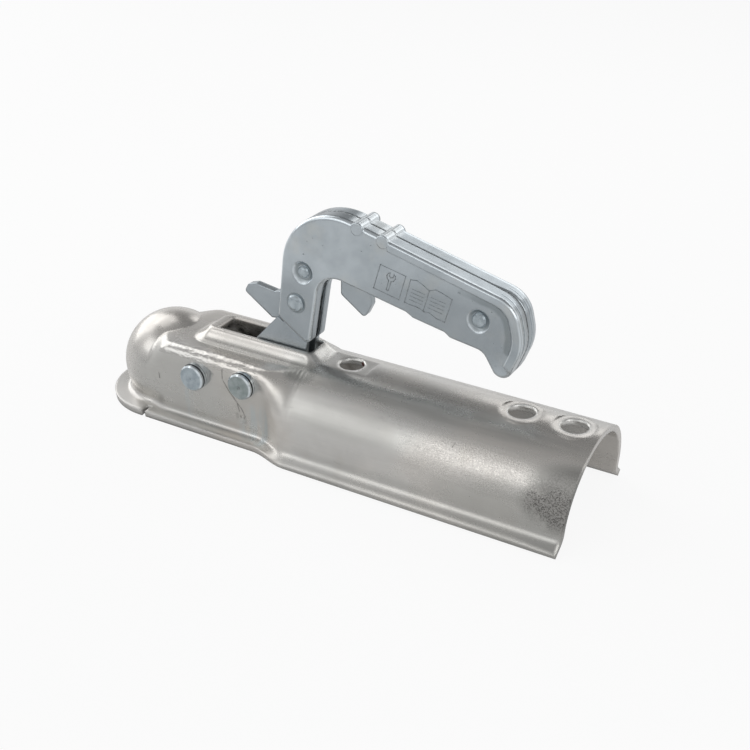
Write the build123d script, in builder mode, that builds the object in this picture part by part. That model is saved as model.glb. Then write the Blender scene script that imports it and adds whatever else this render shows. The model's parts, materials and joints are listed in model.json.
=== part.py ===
from build123d import *
from math import acos, atan2, cos, hypot, radians, sin, sqrt, tan
import os

os.makedirs("parts", exist_ok=True)

# Trailer coupling head for a 50 mm ball, millimetres.
# Origin at the centre of the ball socket, +X to the drawbar, +Z up.

# Driving dimensions of the pressed body
ball_radius = 25.0
socket_clearance = 0.5
sheet = 3.5
lip_reach = 7.7
lip_slope = 84.0
lip_bend = 3.0
front_top = 25.0
front_crown_bend = 1 / 250.0
front_shoulder = 6.5
tube_radius = 35.0
crown_level = 27.9
rear_wall_tuck = 0.3
rear_shoulder = 30.0
rear_waist_rise = 2.0
rear_lip_flare = 6.3
skirt_depth = 10.2
rear_lip_slope = 50.0
rear_lip_bend = 4.0
widening_start = 77.0
widening_length = 24.0
nose_bow = 1 / 36.0
flat_bow = 1 / 2000.0
nose_blend_length = 16.0
nose_dip = 1.0
nose_shoulder = 22.0
blend_steps = 10
body_end = 256.8
end_rake = 3.6

# Raised block and slot that the lever works in
block_top = 31.5
block_foot = 20.0
block_half_width = 9.8
block_flank = 0.48
block_front = 31.5
block_rear = 98.0
block_front_run = 1.0
block_rear_run = 1.35
block_round = 2.2
block_corner = 4.0
block_corner_growth = 0.45
foot_sweeps = ((25.0, 2.4), (25.5, 1.5), (26.2, 0.8), (27.2, 0.3), (28.6, 0.0))
slot_front = 37.0
slot_rear = 97.0
slot_half_width = 7.5

# Bolt holes and their flats
rear_hole_radius = 7.0
rear_hole_positions = (216.1, 244.0)
rear_pad_radius = 11.0
rear_pad_level = 27.1
front_pad_level = 27.0
front_hole_radius = 6.8
front_hole_position = 118.4
front_pad_half_width = 9.0
front_pad_ends = (104.0, 131.0)

# Pins
pin_radius = 5.0
pin_fit = 0.05
jaw_pin_x = 36.5
jaw_pin_z = 11.0
lever_pin_x = 68.4
lever_pin_z = 14.5
head_radius = 7.4
head_length = 3.0
head_chamfer = 0.8
washer_radius = 7.6
washer_thickness = 1.5
groove_radius = 4.3
clip_thickness = 1.2
clip_radius = 7.0
spacer_radius = 6.0
seat_gap = 0.3
collar_radius = 7.6
collar_length = 0.7
neck_radius = 6.2
neck_length = 0.7
pin_end = 33.2
clip_gap = 0.05
spacer_relief_start = 18.0
spacer_relief_level = 17.5
notch_front = 2.0
notch_rear = 4.5

# Lever fork, its bush and the roller that locks the jaw
cheek_inner = 3.5
cheek_outer = 6.4
bush_radius = 6.5
bush_half_length = 7.2
fork_boss_radius = 10.5
roller_x = 51.5
roller_z = 2.0
roller_radius = 4.5
roller_half_width = 3.2
journal_radius = 2.5
nose_boss_radius = 4.2

# Ball jaw
hub_radius = 9.0
hub_half_width = 8.5
cup_half_width = 14.0

# Handle
handle_sheet = 2.0
handle_half_width = 8.5
rim_half_width = 9.5
handle_edge = 2.4
rim_edge = 1.4
rim_width = 5.0
rib_radius = 3.3
rib_rise = 1.8
rib_positions = (126.0, 140.5)
trigger_slit = 2.4
dimple_radius = 6.5
dimple_floor = 4.4
dimple_depth = 1.8
small_shank = 2.0
upper_rivet_at = (93.5, 76.9)
tail_rivet_at = (193.5, 74.3)
pivot_at = (89.4, 59.0)
pivot_shank = 3.5
pivot_head_radius = 4.8
trigger_half_thickness = 2.0
trigger_spring_x = 118.0
trigger_spring_radius = 4.5
trigger_spring_wire = 0.7
trigger_top = 90.0
roof_gap = 4.0
roof_level = 110.0
roof_slope = 0.253
roof_start = 122.0

dome_radius = ball_radius + socket_clearance + sheet
crown_radius = tube_radius + sheet
rear_half_width = crown_radius - rear_wall_tuck
rim_level = crown_level - crown_radius - skirt_depth


def on_arc(centre, radius, angle):
    return (centre[0] + radius * cos(angle), centre[1] + radius * sin(angle))


def section_points(w, crown_z, crown_bend, shoulder_r, waist_z, bow, bend_r, slope, reach, inset):
    """Points of one half of the sheet: the outer skin at inset 0, the inner one at the sheet."""
    quarter = radians(90)
    half_turn = radians(180)
    phi = radians(slope)
    crown_r = 1 / crown_bend
    crown_centre = (0.0, crown_z - crown_r)
    rise = sqrt((crown_r - shoulder_r) ** 2 - (w - shoulder_r) ** 2)
    shoulder_centre = (w - shoulder_r, crown_centre[1] + rise)
    tip = atan2(rise, w - shoulder_r)
    wall_r = 1 / bow
    wall_centre = (w - wall_r, waist_z)
    end_z = rim_level + sheet * sin(phi)
    span = reach - w + wall_r + bend_r * cos(phi)
    drop = end_z - waist_z + bend_r * sin(phi) + span / tan(phi)
    turn = acos(sin(phi) * drop / (wall_r + bend_r)) - phi
    bend_centre = on_arc(wall_centre, wall_r + bend_r, -turn)
    crown = crown_r - inset
    shoulder = shoulder_r - inset
    wall = wall_r - inset
    bend = bend_r + inset
    return {
        "top": (0.0, crown_z - inset),
        "crown_mid": on_arc(crown_centre, crown, (quarter + tip) / 2),
        "crown_end": on_arc(crown_centre, crown, tip),
        "shoulder_mid": on_arc(shoulder_centre, shoulder, tip / 2),
        "shoulder_end": (w - inset, shoulder_centre[1]),
        "waist": (w - inset, waist_z),
        "wall_mid": on_arc(wall_centre, wall, -turn / 2),
        "wall_end": on_arc(wall_centre, wall, -turn),
        "bend_mid": on_arc(bend_centre, bend, half_turn + (phi - turn) / 2),
        "bend_end": on_arc(bend_centre, bend, half_turn + phi),
        "flare_end": (reach - inset * cos(phi), end_z - inset * sin(phi)),
        "edge_end": (reach - sheet * cos(phi), rim_level),
    }


def outline_section(outline, inset, whole=True):
    """Closed section of the form; not whole, it is half of what lies below the waist."""
    p = section_points(*outline, inset)
    with BuildSketch() as section:
        with BuildLine():
            if whole:
                ThreePointArc(p["crown_end"], p["shoulder_mid"], p["shoulder_end"])
                Line(p["shoulder_end"], p["waist"])
            else:
                Line((0, p["waist"][1]), p["waist"])
                Line((0, rim_level), (0, p["waist"][1]))
            ThreePointArc(p["waist"], p["wall_mid"], p["wall_end"])
            ThreePointArc(p["wall_end"], p["bend_mid"], p["bend_end"])
            Line(p["bend_end"], p["flare_end"])
            if inset == 0:
                Line(p["flare_end"], p["edge_end"])
            if whole:
                mirror(about=Plane.YZ)
                ThreePointArc((-p["crown_end"][0], p["crown_end"][1]), p["top"], p["crown_end"])
                Line((-p["edge_end"][0], rim_level), p["edge_end"])
            else:
                Line(p["edge_end"], (0, rim_level))
        make_face()
    return section.sketch


front_outline = (dome_radius, front_top, front_crown_bend, front_shoulder, 0.0, flat_bow,
                 lip_bend, lip_slope, dome_radius + lip_reach)
nose_outline = (dome_radius, front_top - nose_dip, front_crown_bend, nose_shoulder, 0.0,
                nose_bow, lip_bend, lip_slope, dome_radius + lip_reach)
rear_outline = (rear_half_width, crown_level, 1 / crown_radius, rear_shoulder,
                crown_level - crown_radius + rear_waist_rise, flat_bow, rear_lip_bend,
                rear_lip_slope, rear_half_width + rear_lip_flare)


def blend(first, second, share):
    eased = share * share * (3 - 2 * share)
    return tuple(a + (b - a) * eased for a, b in zip(first, second))


def block_form(inset):
    """The raised block over the slot: its edges are rounded and its foot sweeps out."""
    levels = [(block_foot, 0.0), (block_top - inset, 0.0)]
    if inset == 0:
        levels = [(block_foot, foot_sweeps[0][1])] + list(foot_sweeps) + levels[1:]
    with BuildPart() as block:
        for level, sweep_out in levels:
            rise = block_top - level
            front = block_front - block_front_run * rise + inset * hypot(1, block_front_run)
            rear = block_rear + block_rear_run * rise - inset * hypot(1, block_rear_run)
            width = block_half_width + block_flank * rise - inset * hypot(1, block_flank)
            corner = block_corner + block_corner_growth * rise - 0.5 * inset
            with BuildSketch(Plane.XY.offset(level)):
                with Locations(((front + rear) / 2, 0)):
                    RectangleRounded(rear - front + 2 * sweep_out, 2 * (width + sweep_out),
                                     corner + sweep_out)
        loft(ruled=True)
        if inset == 0:
            fillet(block.edges().group_by(Axis.Z)[-1], block_round)
    return block.part


def body_form(inset):
    """The body as a closed form: the outer skin at inset 0, the hollow at an inset of the sheet."""
    widening_end = widening_start + widening_length
    with BuildPart() as form:
        with BuildSketch(Plane.YZ.offset(nose_blend_length)):
            add(outline_section(front_outline, inset))
        extrude(amount=widening_start - nose_blend_length)
        for i in range(blend_steps + 1):
            share = i / blend_steps
            with BuildSketch(Plane.YZ.offset(share * nose_blend_length)):
                add(outline_section(blend(nose_outline, front_outline, share), inset))
        loft(ruled=True)
        for i in range(blend_steps + 1):
            share = i / blend_steps
            with BuildSketch(Plane.YZ.offset(widening_start + share * widening_length)):
                add(outline_section(blend(front_outline, rear_outline, share), inset))
        loft(ruled=True)
        with BuildSketch(Plane.YZ.offset(widening_end)):
            add(outline_section(rear_outline, inset))
        extrude(amount=body_end - widening_end + 10)
        with BuildSketch(Plane.YZ):
            add(outline_section(nose_outline, inset, whole=False))
        revolve(axis=Axis.Z, revolution_arc=180)
        Sphere(dome_radius - inset, arc_size1=0, align=(Align.NONE, Align.NONE, Align.NONE))
        add(block_form(inset))
    return form.part


def turned_profile(points, x, z):
    """Face of points (along Y, radius) in the plane through a Y axis at x, z."""
    with BuildSketch(Plane(origin=(x, 0, z), x_dir=(0, 1, 0), z_dir=(1, 0, 0))) as face:
        with BuildLine():
            Polyline(*points, close=True)
        make_face()
    return face.sketch


def turned(points, x, z):
    with BuildPart() as piece:
        add(turned_profile(points, x, z))
        revolve(axis=Axis((x, 0, z), (0, 1, 0)))
    return piece.part


def tube(x, z, y0, y1, inner, outer):
    return turned([(y0, inner), (y1, inner), (y1, outer), (y0, outer)], x, z)


def rod(x, z, y0, y1, radius):
    return turned([(y0, 0), (y1, 0), (y1, radius), (y0, radius)], x, z)


def outline_face(corners):
    """Face through corners (x, z, radius), each rounded by its radius."""
    with BuildSketch() as face:
        with BuildLine():
            Polyline(*[(x, z) for x, z, r in corners], close=True)
        make_face()
        for x, z, r in corners:
            if r > 0:
                near = face.vertices().sort_by_distance((x, z, 0))[0]
                fillet(near, r)
    return face.sketch


def plate(corners, y0, y1):
    """The outline between two levels of Y."""
    with BuildPart() as piece:
        with BuildSketch(Plane.XZ.offset(-y1)):
            add(outline_face(corners))
        extrude(amount=y1 - y0)
    return piece.part


wall = dome_radius

# Pressed body
with BuildPart() as body_shell:
    add(body_form(0))
    for x in rear_hole_positions:
        with BuildSketch(Plane.XY.offset(block_foot)):
            with Locations((x, 0)):
                Circle(rear_pad_radius)
        extrude(amount=rear_pad_level - block_foot)
        with BuildSketch(Plane.XY.offset(rear_pad_level)):
            with Locations((x, 0)):
                Circle(rear_pad_radius)
        extrude(amount=5, mode=Mode.SUBTRACT)
    front_pad_length = front_pad_ends[1] - front_pad_ends[0]
    with BuildSketch(Plane.XY.offset(front_pad_level)):
        with Locations((sum(front_pad_ends) / 2, 0)):
            Rectangle(front_pad_length, 2 * front_pad_half_width)
    extrude(amount=2, mode=Mode.SUBTRACT)
    add(body_form(sheet), mode=Mode.SUBTRACT)
    with BuildSketch(Plane.XY):
        with Locations([(x, 0) for x in rear_hole_positions]):
            Circle(rear_hole_radius)
        with Locations((front_hole_position, 0)):
            Circle(front_hole_radius)
        with Locations(((slot_front + slot_rear) / 2, 0)):
            RectangleRounded(slot_rear - slot_front, 2 * slot_half_width, 1.2)
    extrude(amount=60, mode=Mode.SUBTRACT)
    for x, z in ((jaw_pin_x, jaw_pin_z), (lever_pin_x, lever_pin_z)):
        add(rod(x, z, -2 * wall, 2 * wall, pin_radius + pin_fit), mode=Mode.SUBTRACT)
    with BuildSketch(Plane.XY.offset(rim_level - 1)):
        for side in (-1, 1):
            with Locations(((notch_front + notch_rear) / 2, side * (wall + 7))):
                Rectangle(notch_rear - notch_front, 10)
    extrude(amount=10, mode=Mode.SUBTRACT)
    with BuildSketch(Plane.XZ):
        with BuildLine():
            lean = tan(radians(end_rake))
            low = (body_end + lean * -40, -40)
            high = (body_end + lean * 60, 60)
            Polyline(low, high, (body_end + 60, 60), (body_end + 60, -40), close=True)
        make_face()
    extrude(amount=60, both=True, mode=Mode.SUBTRACT)
    print("shell", body_shell.part.is_valid, body_shell.part.volume, len(body_shell.solids()))


def headed_pin(x, z):
    seat = wall + washer_thickness
    neck = seat + collar_length
    disc = neck + neck_length
    face = disc + head_length - collar_length - 0.3
    groove = seat + clip_gap
    groove_end = groove + clip_thickness + clip_gap
    return turned([
        (-face, 0),
        (-face, head_radius - head_chamfer),
        (-face + head_chamfer, head_radius),
        (-disc, head_radius),
        (-disc, neck_radius),
        (-neck, neck_radius),
        (-neck, collar_radius),
        (-seat, collar_radius),
        (-seat, pin_radius),
        (groove, pin_radius),
        (groove, groove_radius),
        (groove_end, groove_radius),
        (groove_end, pin_radius),
        (pin_end - head_chamfer, pin_radius),
        (pin_end, pin_radius - head_chamfer),
        (pin_end, 0),
    ], x, z)


with BuildPart() as jaw_pin:
    add(headed_pin(jaw_pin_x, jaw_pin_z))

with BuildPart() as lever_pin:
    add(headed_pin(lever_pin_x, lever_pin_z))

pin_places = ((jaw_pin_x, jaw_pin_z), (lever_pin_x, lever_pin_z))
bore = pin_radius + pin_fit
with BuildPart() as pin_washers:
    for x, z in pin_places:
        add(tube(x, z, -wall - washer_thickness, -wall, bore, washer_radius))
        add(tube(x, z, wall, wall + washer_thickness, bore, washer_radius))

with BuildPart() as retaining_clips:
    clip_start = wall + washer_thickness + clip_gap
    for x, z in pin_places:
        add(tube(x, z, clip_start, clip_start + clip_thickness, groove_radius + clip_gap,
                 clip_radius))
        with BuildSketch(Plane.XZ.offset(-clip_start - clip_thickness / 2)):
            with BuildLine():
                Polyline((x, z), (x - 6, z - 10), (x + 6, z - 10), close=True)
            make_face()
        extrude(amount=clip_thickness, both=True, mode=Mode.SUBTRACT)

with BuildPart() as jaw_spacers:
    inner_end = hub_half_width + seat_gap
    outer_end = wall - sheet - seat_gap
    add(tube(jaw_pin_x, jaw_pin_z, inner_end, outer_end, bore, spacer_radius))
    add(tube(jaw_pin_x, jaw_pin_z, -outer_end, -inner_end, bore, spacer_radius))

with BuildPart() as lever_spacers:
    inner_end = bush_half_length + seat_gap
    add(tube(lever_pin_x, lever_pin_z, inner_end, outer_end, bore, spacer_radius))
    add(tube(lever_pin_x, lever_pin_z, -outer_end, -inner_end, bore, spacer_radius))
    with BuildSketch(Plane.XY.offset(spacer_relief_level)):
        for side in (-1, 1):
            with Locations((lever_pin_x, side * (spacer_relief_start + 5))):
                Rectangle(20, 10)
    extrude(amount=10, mode=Mode.SUBTRACT)


def handle_top(x):
    """Level of the handle's top edge at x."""
    return roof_level - roof_slope * (x - roof_start)


def coil(origin, direction, radius, wire, pitch, height):
    """A round wire wound about a line from origin."""
    with BuildPart() as spring:
        with BuildLine() as path:
            Helix(pitch, height, radius, center=origin, direction=direction)
        with BuildSketch(Plane(origin=path.line @ 0, z_dir=path.line % 0)):
            Circle(wire)
        sweep(path=path.line, is_frenet=True)
    return spring.part


with BuildPart() as jaw_spring:
    add(coil((jaw_pin_x, -outer_end + 1.2, jaw_pin_z), (0, 1, 0), 7.4, 0.8, 2.0, 8.0))

with BuildPart() as lever_spring:
    add(coil((lever_pin_x, -2.2, lever_pin_z), (0, 1, 0), 7.6, 0.8, 1.76, 4.4))

with BuildPart() as trigger_spring:
    foot = trigger_top + 1.0
    height = handle_top(trigger_spring_x) - roof_gap - foot
    add(coil((trigger_spring_x, 0, foot), (0, 0, 1), trigger_spring_radius,
             trigger_spring_wire, height / 5, height))

# Ball jaw: a cup against the ball under a hub on its pin
cup_corners = [
    (24, 3, 0),
    (33, 3.5, 0),
    (40, 5, 0),
    (46.7, 7, 1.5),
    (46.7, -4, 2),
    (44, -8, 2),
    (36, -16, 4),
    (27, -19.5, 3),
    (17.5, -19.5, 0),
]
with BuildPart() as ball_jaw:
    add(plate(cup_corners, -cup_half_width, cup_half_width))
    add(rod(jaw_pin_x, jaw_pin_z, -hub_half_width, hub_half_width, hub_radius))
    Sphere(ball_radius + socket_clearance, mode=Mode.SUBTRACT)
    add(rod(jaw_pin_x, jaw_pin_z, -hub_half_width, hub_half_width, bore), mode=Mode.SUBTRACT)

# Lever fork: two cheeks joined by a web along the front
cheek_corners = [
    (61.5, 30.6, 0),
    (75.7, 46.7, 0),
    (77.3, 46.4, 0),
    (80.2, 44.5, 0),
    (80.2, 51, 0),
    (80.9, 57, 0),
    (82.5, 69, 2),
    (84, 70.5, 0),
    (97, 69, 2),
    (97.6, 60, 0),
    (96, 48, 0),
    (94.4, 37.5, 0),
    (93.7, 32.6, 0),
    (93, 26, 0),
    (82, 12, 0),
    (62, 6, 0),
    (52, -2.2, 0),
    (49, 5, 0),
    (58.5, 24, 6),
]
web_corners = [(61.5, 30.6, 0), (68.5, 38.5, 0), (70.7, 36.6, 0), (63.7, 28.7, 0)]
with BuildPart() as lever_fork:
    for y0, y1 in ((-cheek_outer, -cheek_inner), (cheek_inner, cheek_outer)):
        add(plate(cheek_corners, y0, y1))
        add(rod(lever_pin_x, lever_pin_z, y0, y1, fork_boss_radius))
        add(rod(roller_x, roller_z, y0, y1, nose_boss_radius))
    add(plate(web_corners, -cheek_inner, cheek_inner))
    for x, z, radius in (
        (lever_pin_x, lever_pin_z, bush_radius),
        (roller_x, roller_z, journal_radius),
        (*pivot_at, pivot_shank),
    ):
        add(rod(x, z, -10, 10, radius + pin_fit), mode=Mode.SUBTRACT)

with BuildPart() as lever_bush:
    add(tube(lever_pin_x, lever_pin_z, -bush_half_length, bush_half_length, bore, bush_radius))

with BuildPart() as cam_roller:
    add(turned([
        (-bush_half_length, 0),
        (-bush_half_length, journal_radius),
        (-roller_half_width, journal_radius),
        (-roller_half_width, roller_radius),
        (roller_half_width, roller_radius),
        (roller_half_width, journal_radius),
        (bush_half_length, journal_radius),
        (bush_half_length, 0),
    ], roller_x, roller_z))

# Handle: two pressed half shells that meet at the middle
handle_corners = [
    (77.1, 47.9, 3),
    (84.6, 119.5, 33),
    (212.5, 87.0, 16),
    (217.8, 66, 25),
    (210.0, 45.5, 5.2),
    (203.0, 47.5, 5),
    (196.2, 58.2, 7),
    (178.2, 61.0, 1.5),
    (175.2, 63.2, 1.5),
    (157.6, 66.6, 1.5),
    (153.6, 68.9, 1.5),
    (103.6, 79.5, 12.2),
    (96.6, 34.6, 3),
]

# Openings of the handle under which the fork and the trigger come out
fork_mouth = [(79.5, 50.5), (95.3, 40.5), (94.3, 33), (78.8, 43)]
trigger_slits = ((95.0, 134.0, 30, 80), (76.0, 82.0, 40, 63.5))
rim_limits = [(143, 130), (143, 82), (200, 72), (206, 56), (216, 47), (203, 30), (60, 30), (60, 130)]


def rim_band(side):
    """Raised band along the top of the handle and round its tail."""
    with BuildPart() as rim:
        with BuildSketch(Plane.XZ):
            add(outline_face(handle_corners))
            offset(amount=-rim_width, mode=Mode.SUBTRACT)
            with BuildLine():
                Polyline(*rim_limits, close=True)
            make_face(mode=Mode.SUBTRACT)
        extrude(amount=-side * rim_half_width)
        fillet(rim.faces().sort_by(Axis.Y)[-1 if side > 0 else 0].edges(), rim_edge)
    return rim.part


def handle_shell(side):
    """Half of the handle on one side of the middle plane, side -1 or 1."""
    with BuildPart() as shell:
        with BuildSketch(Plane.XZ):
            add(outline_face(handle_corners))
        extrude(amount=-side * handle_half_width)
        face_y = side * handle_half_width
        fillet(shell.faces().sort_by(Axis.Y)[-1 if side > 0 else 0].edges(), handle_edge)
        add(rim_band(side))
        for x in rib_positions:
            centre = handle_top(x) - rib_radius + rib_rise
            low, high = sorted((0, side * (handle_half_width + 0.6)))
            add(rod(x, centre, low, high, rib_radius))
        with BuildSketch(Plane.XZ):
            add(outline_face(handle_corners))
            offset(amount=-handle_sheet, kind=Kind.INTERSECTION)
            with BuildLine():
                Polyline(*fork_mouth, close=True)
            make_face()
        extrude(amount=-side * (handle_half_width - handle_sheet), mode=Mode.SUBTRACT)
        for x0, x1, z0, z1 in trigger_slits:
            with BuildSketch(Plane.XZ):
                with Locations(((x0 + x1) / 2, (z0 + z1) / 2)):
                    Rectangle(x1 - x0, z1 - z0)
            extrude(amount=-side * trigger_slit, mode=Mode.SUBTRACT)
        for x, z in (upper_rivet_at, tail_rivet_at):
            floor = handle_half_width - dimple_depth
            ys = (floor - handle_sheet, floor, handle_half_width + 0.01)
            boss = turned([(side * ys[0], 0), (side * ys[0], dimple_radius - 1),
                           (side * ys[1], dimple_radius - 1), (side * ys[1], 0)], x, z)
            add(boss)
            dimple = turned([(side * ys[1], 0), (side * ys[1], dimple_floor),
                             (side * ys[2], dimple_radius), (side * ys[2], 0)], x, z)
            add(dimple, mode=Mode.SUBTRACT)
            add(rod(x, z, -12, 12, small_shank + pin_fit), mode=Mode.SUBTRACT)
        add(rod(*pivot_at, -12, 12, pivot_shank + pin_fit), mode=Mode.SUBTRACT)
    return shell.part


with BuildPart() as handle_shell_near:
    add(handle_shell(-1))

with BuildPart() as handle_shell_far:
    add(handle_shell(1))


def domed_rivet(x, z, seat, shank, head, rise):
    """A rivet with a domed head at both ends, seated at |y| = seat."""
    with BuildPart() as rivet:
        add(rod(x, z, -seat, seat, shank))
        for side in (-1, 1):
            add(turned([
                (side * seat, 0),
                (side * seat, head),
                (side * (seat + 0.35 * rise), head),
                (side * (seat + 0.75 * rise), 0.82 * head),
                (side * (seat + rise), 0.5 * head),
                (side * (seat + rise), 0),
            ], x, z))
    return rivet.part


dimple_seat = handle_half_width - dimple_depth
spacer_end = dimple_seat - handle_sheet
with BuildPart() as upper_rivet:
    add(domed_rivet(*upper_rivet_at, dimple_seat, small_shank, 3.3, 1.7))

with BuildPart() as tail_rivet:
    add(domed_rivet(*tail_rivet_at, dimple_seat, small_shank, 3.8, 1.7))

with BuildPart() as trigger_rivet:
    add(domed_rivet(*pivot_at, handle_half_width, pivot_shank, pivot_head_radius, 2.2))

with BuildPart() as upper_spacer:
    add(tube(*upper_rivet_at, -spacer_end, spacer_end, small_shank + pin_fit, 3.4))

with BuildPart() as tail_spacer:
    add(tube(*tail_rivet_at, -spacer_end, spacer_end, small_shank + pin_fit, 3.6))

trigger_corners = [
    (52.2, 55.0, 1.8),
    (69.5, 43.2, 0),
    (86, 45.5, 0),
    (97.5, 52.5, 0),
    (98.6, 60, 0),
    (101.0, 68, 0),
    (104.6, 74.2, 0),
    (109.5, 77.6, 0),
    (112.9, 78, 0),
    (112.9, 67.1, 2),
    (127.1, 57.1, 2),
    (131.0, 65.2, 2),
    (130.6, 72, 0),
    (131, trigger_top - 6, 3),
    (124, trigger_top, 0),
    (112, trigger_top, 0),
    (104.5, trigger_top - 1, 0),
    (100.6, 83, 0),
    (100.4, 77.2, 0),
    (98.8, 73, 0),
    (92, 71.5, 0),
    (84, 66, 0),
    (79.5, 60.8, 0),
    (71.7, 59, 0),
    (59.6, 60.8, 0),
    (54.6, 59.4, 1.5),
]
with BuildPart() as trigger:
    add(plate(trigger_corners, -trigger_half_thickness, trigger_half_thickness))
    add(rod(*pivot_at, -10, 10, pivot_shank + pin_fit), mode=Mode.SUBTRACT)

nodes = {
    "body_shell": body_shell,
    "ball_jaw": ball_jaw,
    "jaw_pin": jaw_pin,
    "lever_pin": lever_pin,
    "pin_washers": pin_washers,
    "retaining_clips": retaining_clips,
    "jaw_spacers": jaw_spacers,
    "lever_spacers": lever_spacers,
    "jaw_spring": jaw_spring,
    "lever_spring": lever_spring,
    "lever_fork": lever_fork,
    "lever_bush": lever_bush,
    "cam_roller": cam_roller,
    "handle_shell_near": handle_shell_near,
    "handle_shell_far": handle_shell_far,
    "upper_rivet": upper_rivet,
    "tail_rivet": tail_rivet,
    "trigger_rivet": trigger_rivet,
    "upper_spacer": upper_spacer,
    "tail_spacer": tail_spacer,
    "trigger": trigger,
    "trigger_spring": trigger_spring,
}
for name, node in nodes.items():
    node.part.label = name
    export_step(node.part, f"parts/{name}.step")
    print(name, node.part.is_valid, round(node.part.volume), len(node.solids()))
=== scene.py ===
import bmesh
import bpy
import json
from functools import reduce
from math import cos, pi, sin, tan
from mathutils import Matrix, Vector


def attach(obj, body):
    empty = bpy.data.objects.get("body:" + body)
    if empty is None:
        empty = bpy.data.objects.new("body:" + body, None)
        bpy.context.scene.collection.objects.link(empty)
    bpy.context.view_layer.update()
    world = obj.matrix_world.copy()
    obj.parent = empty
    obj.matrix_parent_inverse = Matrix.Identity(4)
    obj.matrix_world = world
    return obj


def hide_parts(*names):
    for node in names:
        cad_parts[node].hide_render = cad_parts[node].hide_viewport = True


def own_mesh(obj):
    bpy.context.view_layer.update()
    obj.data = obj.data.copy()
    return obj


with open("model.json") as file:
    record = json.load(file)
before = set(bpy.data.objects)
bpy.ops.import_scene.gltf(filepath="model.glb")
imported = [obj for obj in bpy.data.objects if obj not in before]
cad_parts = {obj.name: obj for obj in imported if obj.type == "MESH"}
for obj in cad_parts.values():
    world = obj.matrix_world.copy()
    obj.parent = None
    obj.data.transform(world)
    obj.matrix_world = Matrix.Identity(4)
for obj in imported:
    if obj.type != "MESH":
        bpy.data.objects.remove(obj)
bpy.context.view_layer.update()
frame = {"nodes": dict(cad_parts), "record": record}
nodes = frame["nodes"]
mm = 0.001
print("frame loaded", len(nodes), "nodes")


# a number or colour that changes over a surface, so that shader maths reads as sums and products
class Signal:
    def __init__(self, maker, socket):
        self.maker = maker
        self.socket = socket

    def __add__(self, other):
        return self.maker.math("ADD", self, other)

    def __radd__(self, other):
        return self.maker.math("ADD", other, self)

    def __sub__(self, other):
        return self.maker.math("SUBTRACT", self, other)

    def __rsub__(self, other):
        return self.maker.math("SUBTRACT", other, self)

    def __mul__(self, other):
        return self.maker.math("MULTIPLY", self, other)

    def __rmul__(self, other):
        return self.maker.math("MULTIPLY", other, self)

    def __truediv__(self, other):
        return self.maker.math("DIVIDE", self, other)

    def __pow__(self, other):
        return self.maker.math("POWER", self, other)

    def __neg__(self):
        return self.maker.math("MULTIPLY", self, -1)

    def __abs__(self):
        return self.maker.math("ABSOLUTE", self)


# adds nodes to the tree of a material or a world
class Maker:
    def __init__(self, owner, shader):
        owner.use_nodes = True
        self.owner = owner
        self.tree = owner.node_tree
        self.shader = self.tree.nodes[shader]

    def node(self, kind, settings=None, inputs=None, output=0):
        made = self.tree.nodes.new(kind)
        for key, value in (settings or {}).items():
            if key == "stops":
                ramp = made.color_ramp
                while len(ramp.elements) < len(value):
                    ramp.elements.new(0.5)
                for stop, (at, colour) in zip(ramp.elements, value):
                    stop.position = at
                    stop.color = (*colour, 1)
            else:
                setattr(made, key, value)
        for key, value in (inputs or {}).items():
            self.feed(made.inputs[key], value)
        return Signal(self, made.outputs[output])

    def feed(self, socket, value):
        if isinstance(value, Signal):
            self.tree.links.new(value.socket, socket)
        elif isinstance(value, tuple) and len(value) == 3 and len(socket.default_value) == 4:
            socket.default_value = (*value, 1)
        else:
            socket.default_value = value

    def set(self, **values):
        for key, value in values.items():
            self.feed(self.shader.inputs[key.replace("_", " ")], value)
        return self.owner

    def math(self, operation, first, second=0.0):
        return self.node("ShaderNodeMath", {"operation": operation}, {0: first, 1: second})

    def largest(self, *parts):
        return reduce(lambda first, second: self.math("MAXIMUM", first, second), parts)

    def smallest(self, *parts):
        return reduce(lambda first, second: self.math("MINIMUM", first, second), parts)

    def step(self, value, low, high, lowOut=0.0, highOut=1.0):
        return self.node("ShaderNodeMapRange", {"interpolation_type": "SMOOTHSTEP"},
                         {"Value": value, "From Min": low, "From Max": high,
                          "To Min": lowOut, "To Max": highOut})

    def blend(self, factor, first, second):
        return self.node("ShaderNodeMix", {"data_type": "RGBA"}, {0: factor, 6: first, 7: second}, 2)

    def split(self, vector):
        parts = self.node("ShaderNodeSeparateXYZ", None, {"Vector": vector}).socket.node.outputs
        return [Signal(self, part) for part in parts]


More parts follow.
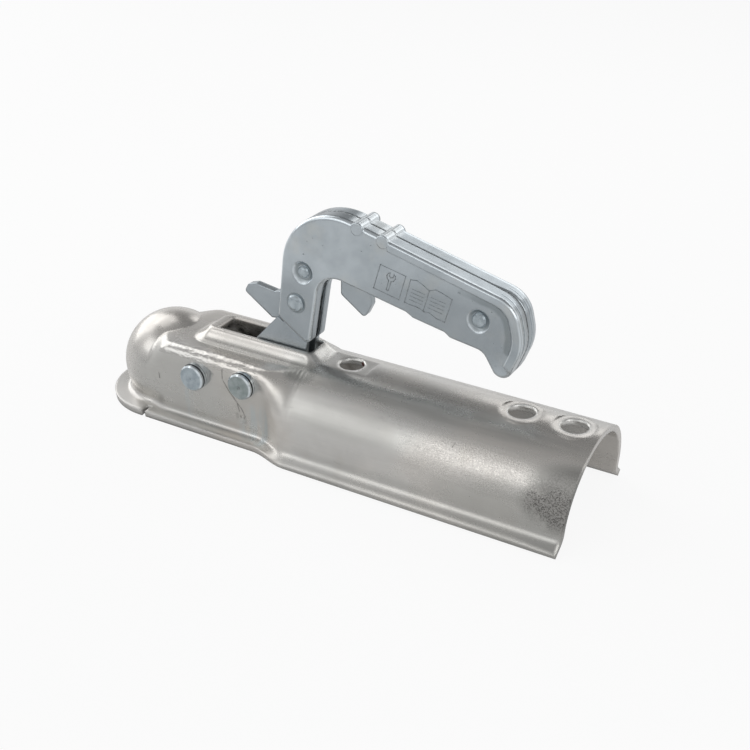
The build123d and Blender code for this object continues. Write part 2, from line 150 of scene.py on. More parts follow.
# a metal's material, drawn on Object coordinates with its lengths in millimetres
class Finish(Maker):
    def __init__(self, name):
        super().__init__(bpy.data.materials.new(name), "Principled BSDF")
        self.place = self.node("ShaderNodeTexCoord", output="Object")
        self.x, self.y, self.z = self.split(self.place)

    def noise(self, scale, detail=2.0, roughness=0.5, stretch=(1, 1, 1), shift=(0, 0, 0)):
        at = self.node("ShaderNodeMapping", None,
                       {"Vector": self.place, "Scale": stretch, "Location": shift})
        return self.node("ShaderNodeTexNoise", None,
                         {"Vector": at, "Scale": scale, "Detail": detail, "Roughness": roughness})

    def patches(self, low, high, amount=1.0, **pattern):
        # where the noise is above low, in full above high
        return self.step(self.noise(**pattern), low, high, 0.0, amount)

    def waver(self, scale, reach):
        # shakes a stroke, to either side by half the reach
        return (self.noise(scale) - 0.5) * (reach * mm)

    def rise(self, value, start, end, first=0.0, last=1.0):
        return self.step(value, start * mm, end * mm, first, last)

    def near(self, value, at, core, reach, amount=1.0):
        # in full within core of a level, nothing beyond reach
        return self.rise(abs(value - at * mm), core, reach, amount, 0.0)

    def fromAxis(self, centre, second):
        # distance from an axis along Y, or along Z when second is y
        dx = self.x - centre[0] * mm
        other = second - centre[1] * mm
        return (dx * dx + other * other) ** 0.5

    def spot(self, centre, size, amount=1.0, bothSides=False):
        # soft ball round a point, in full to half its size
        y = abs(self.y) if bothSides else self.y
        parts = [((axis - at * mm) / (reach * mm)) ** 2
                 for axis, at, reach in zip((self.x, y, self.z), centre, size)]
        return self.step(parts[0] + parts[1] + parts[2], 0.25, 1.0, amount, 0.0)

    def spots(self, places, bothSides=False):
        return self.largest(*(self.spot(*place, bothSides=bothSides) for place in places))

    def stroke(self, points, width, waver):
        # thin line through points in the XZ plane
        gaps = []
        for (x0, z0), (x1, z1) in zip(points, points[1:]):
            run = Vector(((x1 - x0) * mm, (z1 - z0) * mm))
            length = run.length
            run.normalize()
            dx = self.x - x0 * mm
            dz = self.z - z0 * mm
            along = self.smallest(self.largest(dx * run[0] + dz * run[1], 0.0), length)
            offX = dx - along * run[0]
            offZ = dz - along * run[1]
            gaps.append((offX * offX + offZ * offZ) ** 0.5)
        return self.rise(self.smallest(*gaps) + waver, 0.3 * width, width, 1.0, 0.0)

    def softened(self, radius):
        # rounds the look of the sharp edges
        return self.node("ShaderNodeBevel", {"samples": 8}, {"Radius": radius * mm})

    def relief(self, heights, depths, under=None):
        # one bump over another, each with its strength and its depth in millimetres
        for name, height in heights.items():
            strength, depth = depths[name]
            inputs = {"Height": height, "Strength": strength, "Distance": depth * mm}
            if under is not None:
                inputs["Normal"] = under
            under = self.node("ShaderNodeBump", None, inputs)
        return under


galvanised = {
    "pale": (0.685, 0.66, 0.625),
    "deep": (0.565, 0.54, 0.51),
    "cool": (0.48, 0.51, 0.52),
    "warm": (0.52, 0.49, 0.44),
    # pale blue of the painted reflection streaks
    "reflectedBlue": (0.53, 0.60, 0.625),
    # colour of the painted highlights on the hole rims, the ridge and the rear slope
    "highlightTone": (0.78, 0.775, 0.75),
    "shade": (0.375, 0.375, 0.355),
    "stain": (0.12, 0.115, 0.11),
    "rust": (0.16, 0.04, 0.03),
    # colour of the painted shade inside the slot
    "slotShade": (0.03, 0.03, 0.03),
    "metallic": 0.85,
    "roughness": 0.27,
    "broad": dict(scale=26, detail=3.0, roughness=0.55),
    "cloud": dict(scale=95, detail=4.0, roughness=0.6, shift=(0.3, 0.1, 0.2)),
    "drawn": dict(scale=60, detail=3.0, roughness=0.6, stretch=(0.25, 1, 7)),
    "grain": dict(scale=900, detail=3.0, roughness=0.6),
    "fine": dict(scale=2600, roughness=0.6),
    "coolPatches": dict(scale=18, shift=(0.7, 0.4, 0.1), low=0.38, high=0.62, amount=0.28),
    "warmPatches": dict(scale=34, detail=3.0, roughness=0.6, shift=(0.2, 0.9, 0.5),
                        low=0.55, high=0.75, amount=0.35),
    "reflectionRuns": dict(scale=90, detail=3.0, roughness=0.6, stretch=(3, 1, 0.4),
                       low=0.25, high=0.75, amount=0.75),
    "bands": dict(scale=60, detail=3.0, roughness=0.6, stretch=(0.2, 2, 2), shift=(0.5, 0.5, 0),
                  low=0.36, high=0.62, amount=0.6),
    "speckle": dict(scale=1500, detail=4.0, roughness=0.8, shift=(0.1, 0, 0), low=0.45, high=0.58),
    "pits": dict(scale=1500, roughness=0.7, low=0.44, high=0.56),
    "stainPatches": dict(scale=70, detail=3.0, low=0.28, high=0.5),
    "smearPatches": dict(scale=330, detail=3.0, roughness=0.6, low=0.45, high=0.6, amount=0.3),
    "scratchGaps": dict(scale=420, detail=1.0, low=0.35, high=0.5),
    "scuffs": dict(scale=240, detail=4.0, roughness=0.75, stretch=(0.4, 1, 1.6),
                   low=0.62, high=0.74, amount=0.13),
    "beating": dict(scale=130, roughness=0.55, stretch=(1, 1, 2.4)),
    # places: centre, size and, for some, how strong
    # painted reflection: pale blue streaks on the near wall
    "reflectionStreaks": (((31, -29, -3), (3.5, 4, 17)), ((73, -30, -9), (5.5, 6, 15)),
                ((70, -30, -12), (9, 5, 7)), ((80, -31, -8), (6, 7, 16))),
    "bandedShade": ((170, -15, 26), (100, 12, 9)),
    "shades": (((252, -40, -8), (84, 14, 27), 0.62), ((262, -31, 12), (34, 14, 15), 0.75),
               ((34, -30, 2), (64, 6, 27), 0.42), ((132, -32, 12), (56, 9, 11), 0.5),
               ((175, -43, -14), (112, 12, 9), 0.35), ((97, -17, 25), (13, 9, 8), 0.9),
               ((60, -16, 26), (40, 7, 7), 0.5)),
    # painted highlight on the block's rear slope
    "slopeHighlight": ((103, -1, 28), (9, 11, 7), 0.7),
    "skirtStain": ((252, -37, 4), (23, 10, 16)),
    # painted shade at the rear end, flecked with the speckle
    "endGrime": ((266, -32, 10), (36, 15, 19)),
    "smear": ((66.5, -29, -6), (5, 3, 6)),
    "slotInsideShade": ((62, 0, 20), (34, 9.6, 11), 0.93),
    "redMark": ((121.9, 5.8, 25.2), (2.0, 2.0, 1.7)),
    "sparkle": ((205, -36, 12), (48, 14, 15)),
    "dulled": ((116, -33, 6), (60, 16, 26), 0.1),
    "hammered": ((46, -26, 21), (44, 8, 9)),
    # bolt holes along the crown: place and radius, then how far out the painted highlight on the rim lies
    "holes": ((216.1, 7.0), (244.0, 7.0), (118.4, 6.8)),
    "holeRim": {"out": 0.3, "core": 0.3, "reach": 0.8},
    "ridge": ((176, 20.4), (200, 20.0), (226, 19.4)),
    "ridgeWidth": 1.6,
    "ridgeWaver": (300, 1.2),
    "scratches": (((54.3, 19.4), (54.4, 13.5), (58.3, 7.6), (63.5, 1.8), (65.8, -6.7)),
                  ((63.5, 1.8), (66.5, -1.5), (68.5, -5.5), (67.2, -8.5)),
                  ((10.5, 5.5), (10.9, 2.4)),
                  ((195.5, 21.0), (193.0, 15.0))),
    "scratchWidth": 0.5,
    "scratchWaver": (500, 0.6),
    # softened edges: the common radius, then wider ones by place on both sides
    "edge": 1.4,
    "softEdges": (((62, 0, 27), (62, 22, 12), 1.6), ((90, 33, 6), (20, 14, 28), 3.0),
                  ((230, 0, 27), (34, 20, 6), 1.6), ((175, 41, -13), (112, 12, 12), 3.4),
                  ((34, 34, -16), (60, 10, 8), 2.0), ((122, 0, 26), (22, 13, 6), 2.2)),
    # strength and depth of each layer of relief
    "relief": {"clouds": (0.14, 1.4), "beaten": (0.45, 1.6), "grain": (0.025, 0.2),
               "specks": (0.30, 0.2), "rimsAndRidge": (0.35, 0.5), "scratches": (0.6, 0.3)},
}


def galvanisedFinish(name, values):
    m = Finish(name)
    nearSide = m.rise(m.y, -24, -30)
    broad = m.noise(**values["broad"])
    cloud = m.noise(**values["cloud"])
    drawn = m.noise(**values["drawn"])
    grain = m.noise(**values["grain"])
    fine = m.noise(**values["fine"])
    # clouds of zinc, cool and warm patches, and pale blue streaks of painted reflection
    tone = m.step(broad, 0.32, 0.68, 0.0, 0.45) + m.step(cloud, 0.3, 0.7, 0.0, 0.3) \
        + m.step(drawn, 0.3, 0.7, 0.0, 0.25)
    base = m.blend(tone, values["deep"], values["pale"])
    base = m.blend(m.patches(**values["coolPatches"]), base, values["cool"])
    base = m.blend(m.patches(**values["warmPatches"]), base, values["warm"])
    base = m.blend(m.spots(values["reflectionStreaks"]) * m.patches(**values["reflectionRuns"]), base, values["reflectedBlue"])
    # painted shade where the surface looks darker
    banded = m.spot(*values["bandedShade"]) * m.patches(**values["bands"])
    base = m.blend(m.largest(banded, m.spots(values["shades"])), base, values["shade"])
    # painted highlights on the rims of the bolt holes, along a ridge on the near side and on the block's
    # rear slope
    rim = values["holeRim"]
    rims = m.largest(*(m.near(m.fromAxis((holeX, 0), m.y), radius + rim["out"], rim["core"], rim["reach"])
                       for holeX, radius in values["holes"])) * m.rise(m.z, 22, 24)
    ridge = m.stroke(values["ridge"], values["ridgeWidth"], m.waver(*values["ridgeWaver"])) * nearSide
    rimsAndRidge = m.largest(rims * 0.7, ridge * 0.5, m.spot(*values["slopeHighlight"]))
    base = m.blend(rimsAndRidge, base, values["highlightTone"])
    # speckled stain and painted shade at the rear end, a smear and scratches by the pins, painted shade
    # along the foot
    speckle = m.patches(**values["speckle"])
    skirt = m.spot(*values["skirtStain"])
    stain = skirt * (speckle * 0.75 + 0.28) * m.patches(**values["stainPatches"])
    endGrime = m.spot(*values["endGrime"]) * (speckle * 0.2 + 0.42)
    smear = m.spot(*values["smear"]) * m.patches(**values["smearPatches"])
    waver = m.waver(*values["scratchWaver"])
    scratches = m.largest(*(m.stroke(points, values["scratchWidth"], waver)
                            for points in values["scratches"]))
    scratches = scratches * nearSide * m.patches(**values["scratchGaps"])
    # painted shade, darker towards the foot
    foot = m.largest(m.rise(m.z, -15, -21, 0.0, 0.34), m.rise(m.z, -19.4, -20.5, 0.0, 0.6))
    soilAndShade = m.largest(stain, endGrime, smear, scratches * 0.6, foot, m.patches(**values["scuffs"]))
    # real stains, scratches and the painted shade all take the stain colour
    base = m.blend(soilAndShade, base, values["stain"])
    # painted shade inside the slot
    base = m.blend(m.spot(*values["slotInsideShade"]), base, values["slotShade"])
    base = m.blend(m.spot(*values["redMark"]), base, values["rust"])
    # gloss and relief
    sparkle = m.spot(*values["sparkle"]) * m.patches(**values["pits"]) * nearSide
    rough = values["roughness"] + (tone - 0.5) * -0.12 + (grain - 0.5) * 0.05 + soilAndShade * 0.3 \
        - sparkle * 0.14 + m.spot(*values["dulled"])
    heights = {
        "clouds": broad + cloud * 0.2 + drawn * 0.15,
        "beaten": m.spot(*values["hammered"]) * m.noise(**values["beating"]),
        "grain": grain * 0.6 + fine * 0.4,
        "specks": sparkle + speckle * skirt,
        "rimsAndRidge": ridge + rims * 0.5,
        "scratches": -scratches,
    }
    soft = m.softened(m.spots(values["softEdges"], True) + values["edge"])
    return m.set(Base_Color=base, Metallic=values["metallic"], Roughness=rough,
                 Normal=m.relief(heights, values["relief"], soft))


zincSheet = {
    "pale": (0.56, 0.61, 0.645),
    "deep": (0.43, 0.475, 0.505),
    "warm": (0.60, 0.60, 0.56),
    "speck": (0.16, 0.17, 0.18),
    "shade": (0.30, 0.33, 0.35),
    # colours of the painted highlights on the ribs and edges
    "ribHighlight": (0.74, 0.78, 0.80),
    "edgeHighlight": (0.80, 0.86, 0.90),
    # colour of the painted shade in the crease and dimples, and of small marks
    "shadeAndMarkTone": (0.20, 0.23, 0.24),
    "metallic": 0.88,
    "roughness": 0.22,
    "broad": dict(scale=32, detail=3.0),
    "cloud": dict(scale=120, detail=4.0, roughness=0.6, shift=(0.4, 0.2, 0.6)),
    "grain": dict(scale=1300, detail=3.0, roughness=0.6),
    "warmPatches": dict(scale=45, detail=3.0, roughness=0.6, shift=(0.8, 0.3, 0.1),
                        low=0.52, high=0.72, amount=0.4),
    "specks": dict(scale=520, detail=3.0, roughness=0.7, low=0.68, high=0.74, amount=0.5),
    "markPatches": dict(scale=800, low=0.4, high=0.5),
    "shades": (((88, 0, 48), (26, 40, 34), 0.55), ((172, 0, 67), (62, 40, 26), 0.55),  # leg, grip
               ((122, 0, 76), (16, 3, 16), 0.6)),  # finger tab
    "topShades": (((104, -3, 111), (18, 9, 11)), ((117, -3, 116), (17, 9, 9))),
    "ribs": (((126, 0, 110.4), (6.5, 14, 5)), ((140.5, 0, 106.7), (6.5, 14, 5))),
    "marks": (((133.8, -8, 100.7), (0.8, 3, 0.6)), ((94.6, -8, 87.6), (0.9, 3, 0.6)),
              ((128.6, -8, 96.5), (0.5, 3, 0.5)), ((183.0, -8, 86.8), (1.0, 3, 0.5)),
              ((200.5, -8, 81.0), (0.7, 3, 0.6))),
    "crease": ((184, 87.6), (201.6, 83.4), (206.0, 80.8), (208.2, 76.8), (209.8, 70), (209.4, 62)),
    "creaseWidth": 2.6,
    "creaseWaver": (220, 1.4),
    "dimples": (((93.5, 76.9), 3.3, 5.6), ((193.5, 74.3), 3.8, 5.8), ((89.4, 59.0), 4.9, 5.9)),
    "edge": 1.5,
    "tailRound": ((213, 0, 68), (24, 14, 36), 2.4),
    "relief": {"clouds": (0.16, 1.2), "grain": (0.03, 0.15), "specks": (0.3, 0.2)},
}


def zincFinish(name, values):
    m = Finish(name)
    across = abs(m.y)
    broad = m.noise(**values["broad"])
    cloud = m.noise(**values["cloud"])
    grain = m.noise(**values["grain"])
    # clouds, warm patches and specks
    tone = m.step(broad, 0.3, 0.7, 0.0, 0.6) + m.step(cloud, 0.3, 0.7, 0.0, 0.4)
    base = m.blend(tone, values["deep"], values["pale"])
    base = m.blend(m.patches(**values["warmPatches"]), base, values["warm"])
    specks = m.patches(**values["specks"])
    base = m.blend(specks, base, values["speck"])
    # painted shade on the leg, grip, tab and middle strip, painted highlights on the ribs and edges
    top = m.spots(values["topShades"]) * m.rise(across, 8.4, 7.6)
    shadeMask = m.largest(m.spots(values["shades"]), m.rise(across, 7.4, 6.6, 0.0, 0.42), top)
    ribs = m.spots(values["ribs"])
    base = m.blend(shadeMask * (1 - ribs), base, values["shade"])
    base = m.blend(ribs * m.rise(across, 8.6, 7.0, 0.05, 0.65), base, values["ribHighlight"])
    rimEdges = m.near(across, 9.0, 0.25, 0.45, 0.6) * m.rise(m.x, 143, 147)
    base = m.blend(m.largest(m.near(across, 7.5, 0.5, 0.9, 0.6), rimEdges), base, values["edgeHighlight"])
    # painted shade in the crease round the tail and in the dimples, and small marks
    crease = m.stroke(values["crease"], values["creaseWidth"], m.waver(*values["creaseWaver"]))
    crease = crease * m.rise(across, 8.2, 8.4, 0.0, 0.6) * m.rise(m.x, 183, 198, 0.35, 1.0)
    base = m.blend(crease, base, values["shadeAndMarkTone"])
    rings = m.largest(*(m.near(m.fromAxis(centre, m.z), (inner + outer) / 2, 0.2, (outer - inner) * 0.62)
                        for centre, inner, outer in values["dimples"]))
    rings = rings * m.rise(across, 4, 5) * m.rise(across, 9.2, 8.8)
    grime = m.largest(rings, m.spots(values["marks"]) * m.patches(**values["markPatches"]))
    base = m.blend(grime * 0.62, base, values["shadeAndMarkTone"])
    # gloss and relief
    rough = values["roughness"] + (grain - 0.5) * 0.06 + (tone - 0.5) * -0.1 + specks * 0.3 + grime * 0.15
    soft = m.softened(m.spot(*values["tailRound"]) + values["edge"])
    heights = {"clouds": broad, "grain": grain, "specks": -specks}
    return m.set(Base_Color=base, Metallic=values["metallic"], Roughness=rough,
                 Normal=m.relief(heights, values["relief"], soft))


pinZinc = {
    "jaw_pin": {"pale": (0.46, 0.52, 0.56), "deep": (0.31, 0.36, 0.39),
                "centre": (36.5, 11.0), "mark": 0.5},
    "lever_pin": {"pale": (0.40, 0.44, 0.44), "deep": (0.24, 0.285, 0.285),
                  "centre": (68.4, 14.5), "mark": 1.5},
    # painted highlight on the chamfer
    "rim": (0.80, 0.86, 0.90),
    "dark": (0.06, 0.065, 0.07),
    "metallic": 0.92,
    "roughness": 0.2,
    "cloud": dict(scale=260, detail=4.0, roughness=0.65),
    "grain": dict(scale=1500, detail=3.0, roughness=0.6),
    "markPatches": dict(scale=900, roughness=0.6, low=0.42, high=0.55),
    "turning": 9000.0,  # how close the turned rings lie
    "relief": {"lathe": (0.04, 0.1), "mark": (0.5, 0.3), "grain": (0.12, 0.12)},
}


def pinFinish(pin, values):
    # turned rings about the pin, a painted highlight on the chamfer, a small mark on the head and painted
    # shade in the neck behind it
    m = Finish(pin + "Zinc")
    own = values[pin]
    ring = m.fromAxis(own["centre"], m.z)
    lathe = m.math("SINE", ring * values["turning"]) * 0.5 + 0.5
    cloud = m.noise(**values["cloud"])
    base = m.blend(m.step(cloud, 0.3, 0.7, 0.0, 0.8) + lathe * 0.2, own["deep"], own["pale"])
    rim = m.rise(ring, 6.4, 6.8)
    base = m.blend(rim * 0.75, base, values["rim"])
    mark = m.rise(ring, own["mark"] * 0.4, own["mark"], 1.0, 0.0) * m.patches(**values["markPatches"])
    neck = m.rise(m.y, -31.98, -31.88) * m.rise(m.y, -30.9, -31.1)
    base = m.blend(m.largest(mark * 0.8, neck * 0.85), base, values["dark"])
    heights = {"lathe": lathe, "mark": -mark, "grain": m.noise(**values["grain"])}
    return m.set(Base_Color=base, Metallic=values["metallic"],
                 Roughness=values["roughness"] + (cloud - 0.5) * 0.12 - rim * 0.08,
                 Normal=m.relief(heights, values["relief"]))


washerZinc = {
    "pale": (0.84, 0.89, 0.92),
    "deep": (0.62, 0.68, 0.72),
    "dark": (0.07, 0.075, 0.08),
    "metallic": 0.92,
    "roughness": 0.16,
    "cloud": dict(scale=400, detail=4.0, roughness=0.65),
    # painted shade line where two rings meet
    "gap": (29.7, 0.1, 0.3, 0.85),  # where two rings meet: level, core, reach and darkness
    "relief": {"clouds": (0.15, 0.2)},
}


def washerFinish(name, values):
    # bright colour that paints the edges' highlights, with a painted shade line where two rings meet
    m = Finish(name)
    cloud = m.noise(**values["cloud"])
    level, core, reach, darkness = values["gap"]
    gap = m.near(abs(m.y), level, core, reach)
    base = m.blend(m.step(cloud, 0.3, 0.7), values["deep"], values["pale"])
    base = m.blend(gap * darkness, base, values["dark"])
    return m.set(Base_Color=base, Metallic=values["metallic"],
                 Roughness=values["roughness"] + (cloud - 0.5) * 0.1,
                 Normal=m.relief({"clouds": cloud - gap}, values["relief"]))


plainMetals = {
    "brightZinc": dict(pale=(0.50, 0.56, 0.595), deep=(0.36, 0.41, 0.44), metallic=0.85,
                       roughness=0.24, scale=300, bump=0.1),
    "turnedSteel": dict(pale=(0.42, 0.42, 0.41), deep=(0.25, 0.25, 0.245), metallic=0.85,
                        roughness=0.4, scale=400, bump=0.1),
    "springWire": dict(pale=(0.22, 0.22, 0.22), deep=(0.10, 0.10, 0.10), metallic=0.8,
                       roughness=0.42, scale=500, bump=0.15),
    "castJaw": dict(pale=(0.30, 0.30, 0.295), deep=(0.18, 0.175, 0.17), metallic=0.75,
                    roughness=0.5, scale=220, bump=0.4),
    "pressedLine": dict(pale=(0.34, 0.37, 0.39), deep=(0.22, 0.24, 0.25), metallic=0.7,
                        roughness=0.4, scale=500, bump=0.1),
    "rimShadow": dict(pale=(0.27, 0.30, 0.32), deep=(0.18, 0.20, 0.21), metallic=0.7,
                      roughness=0.4, scale=500, bump=0.1),
    "grooveShadow": dict(pale=(0.16, 0.175, 0.18), deep=(0.09, 0.10, 0.10), metallic=0.5,
                         roughness=0.5, scale=500, bump=0.1),
    "foldedEdge": dict(pale=(0.66, 0.71, 0.74), deep=(0.50, 0.55, 0.58), metallic=0.9,
                       roughness=0.22, scale=300, bump=0.05),
}


def plainMetal(name):
    values = plainMetals[name]
    m = Finish(name)
    cloud = m.noise(values["scale"], 4.0, 0.6)
    grain = m.noise(values["scale"] * 6, 3.0, 0.6)
    return m.set(Base_Color=m.blend(m.step(cloud, 0.3, 0.7), values["deep"], values["pale"]),
                 Metallic=values["metallic"], Roughness=values["roughness"] + (grain - 0.5) * 0.2,
                 Normal=m.relief({"grain": grain}, {"grain": (values["bump"], 0.2)}))


slotFinishes = {
    "galvanised_body": galvanisedFinish("galvanisedSteel", galvanised),
    "zinc_sheet": zincFinish("zincSheet", zincSheet),
    "bright_zinc": plainMetal("brightZinc"),
    "turned_steel": plainMetal("turnedSteel"),
    "spring_wire": plainMetal("springWire"),
    "cast_jaw": plainMetal("castJaw"),
}
ownFinishes = {pin: pinFinish(pin, pinZinc) for pin in ("jaw_pin", "lever_pin")}
ownFinishes["pin_washers"] = washerFinish("washerZinc", washerZinc)
slotOf = {part["node"]: part["material_slot"] for part in frame["record"]["subparts"]}
for name, node in nodes.items():
    node.data.materials.clear()
    node.data.materials.append(ownFinishes.get(name, slotFinishes[slotOf[name]]))
print("finishes", len(slotFinishes) + len(ownFinishes))


def pieceFrom(name, mesh, finish, body):
    data = bpy.data.meshes.new(name)
    mesh.to_mesh(data)
    mesh.free()
    piece = bpy.data.objects.new(name, data)
    bpy.context.scene.collection.objects.link(piece)
    data.materials.append(finish)
    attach(piece, body)
    return piece


# the trigger's spring, moved into a piece of its own on the handle
triggerCoil = {
    "foot": (0.118, 0, 0.1073),  # metres
    "shortest": 0.76,
    "mergeWithin": 0.00001,
}
spring = bmesh.new()
spring.from_mesh(nodes["trigger_spring"].data)
bmesh.ops.transform(spring, matrix=nodes["trigger_spring"].matrix_world, verts=spring.verts)
bmesh.ops.remove_doubles(spring, verts=spring.verts, dist=triggerCoil["mergeWithin"])
coil = pieceFrom("triggerCoil", spring, slotFinishes["spring_wire"], "handle")
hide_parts("trigger_spring")
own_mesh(coil)
print("trigger coil ready")

# lines pressed into the handle's near panel: a plain frame with a spanner, an open book
panelLines = {
    "face": -8.5,
    "proud": 0.10,
    "width": 0.40,
    "ruleWidth": 0.32,
    "frame": ((139.6, 91.9), (153.9, 88.8), (150.3, 75.4), (135.8, 78.5)),
    # half the spanner's outline, across and along from the frame's centre
    "spanner": ((0.55, -4.8), (0.7, 0.5), (1.9, 1.5), (2.4, 2.9), (2.0, 4.3), (1.15, 4.9), (1.05, 3.1),
                (0, 2.5)),
    "book": ((156.6, 87.6), (160.2, 87.9), (163.6, 86.2), (167.0, 84.1), (170.4, 85.4),
             (174.2, 84.4), (179.4, 82.4), (175.8, 69.5), (171.2, 70.3), (167.4, 72.4),
             (164.6, 72.3), (160.6, 73.9), (156.6, 74.2), (153.4, 74.9)),
    "spine": ((167.0, 84.1), (163.9, 72.6)),
    "rules": (0.25, 0.42, 0.59, 0.76),  # shares of the spine's length
    "ruleEnds": (((-1.8, 0.35), (-8.6, 1.634)), ((1.8, -0.35), (9.6, -1.824))),
}


def pressLine(mesh, values, points, closed=False, width=None):
    # a thin raised line along points (x, z) on the near face
    width = width or values["width"]
    ends = list(points[1:]) + ([points[0]] if closed else [])
    for start, end in zip(points, ends):
        run = Vector(end) - Vector(start)
        made = bmesh.ops.create_cube(mesh, size=1.0)["verts"]
        bmesh.ops.scale(mesh, vec=(run.length + width * 0.9, values["proud"] * 2, width), verts=made)
        turn = Matrix.Rotation(Vector((1, 0)).angle_signed(run), 3, "Y")
        bmesh.ops.rotate(mesh, cent=(0, 0, 0), matrix=turn, verts=made)
        middle = (Vector(start) + Vector(end)) / 2
        bmesh.ops.translate(mesh, vec=(middle[0], values["face"], middle[1]), verts=made)


lines = bmesh.new()
pressLine(lines, panelLines, panelLines["frame"], True)
pressLine(lines, panelLines, panelLines["book"], True)
pressLine(lines, panelLines, panelLines["spine"])
corners = [Vector(corner) for corner in panelLines["frame"]]
centre = sum(corners, Vector((0, 0))) / 4
across = (corners[1] - corners[0]).normalized()
along = (corners[0] - corners[3]).normalized()
spanner = [centre + across * a + along * b for a, b in panelLines["spanner"]]
spanner += [centre - across * a + along * b for a, b in reversed(panelLines["spanner"][:-1])]
pressLine(lines, panelLines, spanner, True)
spineTop, spineFoot = (Vector(point) for point in panelLines["spine"])
for share in panelLines["rules"]:
    level = spineTop.lerp(spineFoot, share)
    for start, end in panelLines["ruleEnds"]:
        pressLine(lines, panelLines, (level + Vector(start), level + Vector(end)),
                  width=panelLines["ruleWidth"])
bmesh.ops.scale(lines, vec=(mm, mm, mm), verts=lines.verts)
pieceFrom("panelLines", lines, plainMetal("pressedLine"), "handle")
print("panel lines ready")

# the handle's outline from the side, as corners (x, z, radius)
handleOutline = ((77.1, 47.9, 3), (84.6, 119.5, 33), (212.5, 87.0, 16), (217.8, 66, 25),
                 (210.0, 45.5, 5.2), (203.0, 47.5, 5), (196.2, 58.2, 7), (178.2, 61.0, 1.5),
                 (175.2, 63.2, 1.5), (157.6, 66.6, 1.5), (153.6, 68.9, 1.5), (103.6, 79.5, 12.2),
                 (96.6, 34.6, 3))


def roundedPath(corners, inset, first, last):
    # points of the outline moved in by inset, from corner first to corner last
    count = len(corners)
    points = [Vector((x, z)) for x, z, radius in corners]
    moved = []
    for i in range(count):
        before = (points[i] - points[i - 1]).normalized()
        after = (points[(i + 1) % count] - points[i]).normalized()
        inward = Vector((before[1], -before[0])) + Vector((after[1], -after[0]))
        moved.append(points[i] + inward * inset / (1 + before.dot(after)))
    path = []
    for i in range(first, last + 1):
        at = moved[i]
        toBefore = (moved[i - 1] - at).normalized()
        toAfter = (moved[(i + 1) % count] - at).normalized()
        turn = pi - toBefore.angle(toAfter)
        convex = toBefore[0] * toAfter[1] - toBefore[1] * toAfter[0] > 0
        radius = max(corners[i][2] + (-inset if convex else inset), 0.3)
        reach = radius * tan(turn / 2)
        centre = at + (toBefore + toAfter).normalized() * radius / cos(turn / 2)
        start = at + toBefore * reach - centre
        sweep = start.angle_signed(at + toAfter * reach - centre)
        steps = max(2, int(abs(turn) * 10))
        for k in range(steps + 1):
            angle = -sweep * k / steps
            path.append(centre + Vector((start[0] * cos(angle) - start[1] * sin(angle),
                                         start[0] * sin(angle) + start[1] * cos(angle))))
    return path


def sweepBar(mesh, path, low, high, inner, outer):
    # a bar along the path between two levels of Y: its end face is drawn from point to point
    last = len(path) - 1
    runs = [path[min(i + 1, last)] - path[max(i - 1, 0)] for i in range(last + 1)]
    side = Vector((-runs[0][1], runs[0][0])).normalized()
    corners = []
    for y, out in ((low, inner), (high, inner), (high, outer), (low, outer)):
        x, z = path[0] + side * out
        corners.append(mesh.verts.new((x, y, z)))
    end = mesh.faces.new(corners)
    for i in range(last):
        drawn = bmesh.ops.extrude_face_region(mesh, geom=[end, *end.edges])["geom"]
        end = next(part for part in drawn if isinstance(part, bmesh.types.BMFace))
        turn = Matrix.Rotation(runs[i].angle_signed(runs[i + 1]), 3, "Y")
        bmesh.ops.rotate(mesh, cent=(path[i][0], 0, path[i][1]), matrix=turn, verts=end.verts)
        move = path[i + 1] - path[i]
        bmesh.ops.translate(mesh, vec=(move[0], 0, move[1]), verts=end.verts)


# the seam between the two half shells, the folds beside it and the grooves inside the rims:
# each keeps the outline's points after one x that lie above a level or past another x
seamValues = {"finish": "grooveShadow", "inset": 0.0, "corners": (0, 12), "levels": (0,),
              "half": 0.16, "out": (-0.4, 0.03), "after": 0, "above": 0, "past": 0}
foldValues = {"finish": "foldedEdge", "inset": 0.0, "corners": (1, 4), "levels": (-4.4, 4.4),
              "half": 0.28, "out": (-0.4, 0.16), "after": 144.5, "above": 62, "past": 212}
grooveValues = {"finish": "rimShadow", "inset": 5.1, "corners": (1, 4), "levels": (-8.43, 8.43),
                "half": 0.13, "out": (-0.45, 0.2), "after": 143, "above": 55, "past": 208}


def handleLine(name, values):
    path = [point for point in roundedPath(handleOutline, values["inset"], *values["corners"])
            if point[0] > values["after"] and (point[1] > values["above"] or point[0] > values["past"])]
    mesh = bmesh.new()
    for level in values["levels"]:
        sweepBar(mesh, path, level - values["half"], level + values["half"], *values["out"])
    bmesh.ops.recalc_face_normals(mesh, faces=mesh.faces)
    bmesh.ops.scale(mesh, vec=(mm, mm, mm), verts=mesh.verts)
    pieceFrom(name, mesh, plainMetal(values["finish"]), "handle")


handleLine("handleSeam", seamValues)
handleLine("gripFolds", foldValues)
handleLine("rimGrooves", grooveValues)
print("handle lines ready")

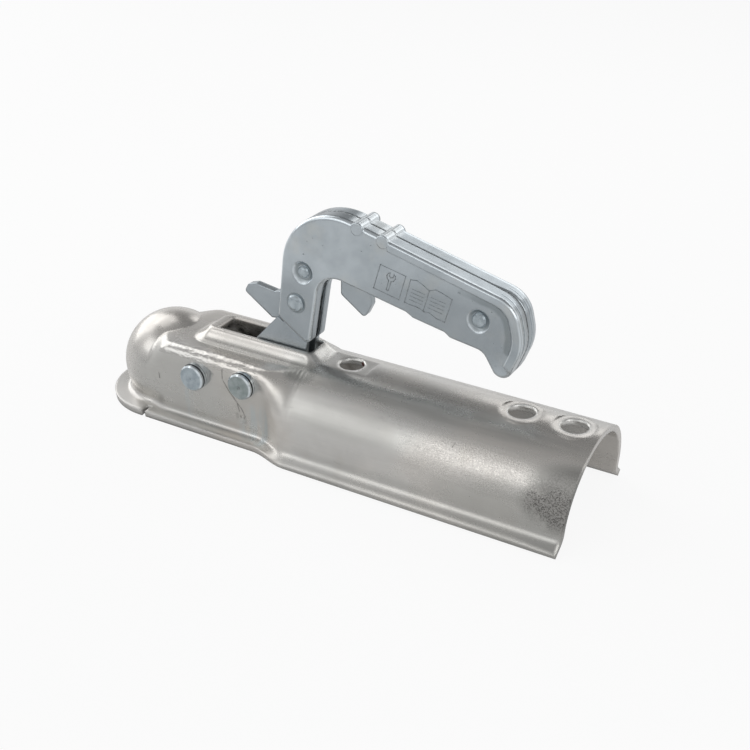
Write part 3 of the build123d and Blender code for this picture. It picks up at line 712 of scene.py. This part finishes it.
floorPaper = {
    "level": -20.95,
    "halfWidth": 20.0,  # metres
    "colour": (0.86, 0.86, 0.86),
    "roughness": 0.9,
    "glow": 0.9,
    "glowInReflections": 0.2,
}
sheet = bmesh.new()
bmesh.ops.create_grid(sheet, x_segments=1, y_segments=1, size=floorPaper["halfWidth"])
bmesh.ops.translate(sheet, vec=(0, 0, floorPaper["level"] * mm), verts=sheet.verts)
sheetData = bpy.data.meshes.new("floor")
sheet.to_mesh(sheetData)
sheet.free()
floor = bpy.data.objects.new("floor", sheetData)
bpy.context.scene.collection.objects.link(floor)
m = Maker(bpy.data.materials.new("floorPaper"), "Principled BSDF")
m.set(Base_Color=floorPaper["colour"], Roughness=floorPaper["roughness"], Metallic=0.0,
      Specular_IOR_Level=0.0)
seen = m.largest(m.node("ShaderNodeLightPath", output="Is Camera Ray"),
                 m.node("ShaderNodeLightPath", output="Is Glossy Ray") * floorPaper["glowInReflections"])
glow = m.node("ShaderNodeEmission", None, {"Color": (1, 1, 1)})
paper = m.node("ShaderNodeMixShader", None,
               {0: seen * floorPaper["glow"], 1: Signal(m, m.shader.outputs[0]), 2: glow})
m.feed(m.tree.nodes["Material Output"].inputs["Surface"], paper)
sheetData.materials.append(m.owner)

lamps = {
    "left": {"at": (-1.15, 0.28, 0.66), "aim": (0.1, 0, 0), "size": (1.0, 1.0), "power": 4.6},
    "front": {"at": (-0.55, -1.05, 0.80), "aim": (0.1, 0, 0.02), "size": (1.3, 0.6), "power": 2.2},
    "right": {"at": (1.3, -0.35, 0.75), "aim": (0.1, 0, 0.02), "size": (0.8, 0.8), "power": 3.0},
    "dome": {"at": (-0.26, 0.14, 0.46), "aim": (0, 0, 0.02), "size": (0.28, 0.28), "power": 0.28},
    "rear": {"at": (0.26, 0.85, 0.56), "aim": (0.22, 0, 0.03), "size": (0.9, 0.3), "power": 1.0},
}
for name, values in lamps.items():
    light = bpy.data.lights.new(name, "AREA")
    light.shape = "RECTANGLE"
    light.size, light.size_y = values["size"]
    light.energy = values["power"]
    lamp = bpy.data.objects.new(name, light)
    bpy.context.scene.collection.objects.link(lamp)
    lamp.location = values["at"]
    aim = Vector(values["aim"]) - Vector(values["at"])
    lamp.rotation_euler = aim.to_track_quat("-Z", "Y").to_euler()
print("floor and lamps ready")

# the room's brightness by height, from the horizon at 0 to straight above at 1
room = {
    "front": ((0.0, 0.55), (0.14, 0.62), (0.40, 0.80), (0.66, 0.82), (0.82, 0.42), (1.0, 0.34)),
    "rear": ((0.0, 0.95), (0.20, 0.88), (0.44, 0.46), (0.64, 0.20), (0.86, 0.20), (1.0, 0.34)),
    "tint": (1, 1.005, 1.012),
    "change": (-0.25, 0.15),  # where the front turns into the rear
    "backdrop": (1, 1, 1),
}
m = Maker(bpy.data.worlds.new("studio"), "Background")
bpy.context.scene.world = m.owner
toRear, upward = m.split(m.node("ShaderNodeTexCoord", output="Generated"))[1:]
front, rear = (m.node("ShaderNodeValToRGB",
                      {"stops": [(at, [level * part for part in room["tint"]]) for at, level in room[name]]},
                      {0: upward}) for name in ("front", "rear"))
walls = m.blend(m.step(toRear, *room["change"]), front, rear)
m.set(Color=m.blend(m.node("ShaderNodeLightPath", output="Is Camera Ray"), walls, room["backdrop"]),
      Strength=1.0)

view = {
    "eye": (0.41477, -0.49559, 0.33075),
    "right": (0.86612, 0.49974, 0.01008),
    "down": (0.24415, -0.40537, -0.88095),
    "forward": (-0.43616, 0.76546, -0.47311),
    "lens": 59.31,
    "sensor": 36.0,
    "nearest": 0.01,
}
camera = bpy.data.objects.new("camera", bpy.data.cameras.new("camera"))
bpy.context.scene.collection.objects.link(camera)
camera.data.lens = view["lens"]
camera.data.sensor_width = view["sensor"]
camera.data.sensor_fit = "HORIZONTAL"
camera.data.clip_start = view["nearest"]
turn = Matrix((Vector(view["right"]), -Vector(view["down"]), -Vector(view["forward"]))).transposed()
camera.matrix_world = Matrix.Translation(Vector(view["eye"])) @ turn.to_4x4()
bpy.context.scene.camera = camera
bpy.context.scene.view_settings.view_transform = "Standard"
print("stage ready")
